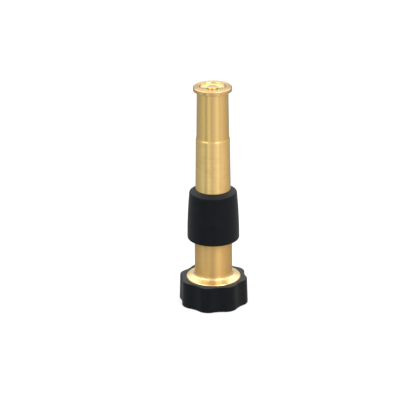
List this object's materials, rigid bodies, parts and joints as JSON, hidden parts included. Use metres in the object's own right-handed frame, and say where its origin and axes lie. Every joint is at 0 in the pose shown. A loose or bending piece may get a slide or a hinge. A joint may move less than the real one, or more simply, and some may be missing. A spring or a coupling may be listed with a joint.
{
  "type": "hose spray nozzle",
  "caption": "Adjustable brass twist nozzle for a garden hose, with a rubber grip on its barrel and a lobed rubber cover over its threaded hose end.",
  "frame": {"origin": "on the axis, at the lowest face of the lobed cover of the hose end", "axes": "+Z along the axis from the hose end to the outlet; +X through the middle of one lobe of the cover"},
  "size_m": [0.0392, 0.0392, 0.127],
  "materials": {
    "brass_stem": "turned, satin",
    "brass_barrel": "turned and polished",
    "bronze": "turned",
    "rubber": "smooth matt",
    "seal_rubber": "smooth",
    "spring_steel": "bright"
  },
  "bodies": {
    "stem": {"coupling_body": "brass_stem", "coupling_cover": "rubber", "hose_washer": "seal_rubber", "spindle": "bronze", "tip_oring": "seal_rubber", "stem_oring": "seal_rubber"},
    "snap_ring": {"retaining_ring": "spring_steel"},
    "barrel": {"barrel": "brass_barrel", "barrel_grip": "rubber"}
  },
  "joints": [
    {"name": "barrel_lift", "type": "slide", "parent": "stem", "child": "snap_ring", "axis": [0, 0, 1], "range_m": [0, 0.00953]},
    {"name": "barrel_twist", "type": "hinge", "parent": "snap_ring", "child": "barrel", "pos_m": [0, 0, 0.055], "axis": [0, 0, 1], "range_deg": [0, 540]}
  ],
  "couplings": [
    {"joint": "barrel_twist", "follows": "barrel_lift", "rad_per_m": 989.48}
  ]
}
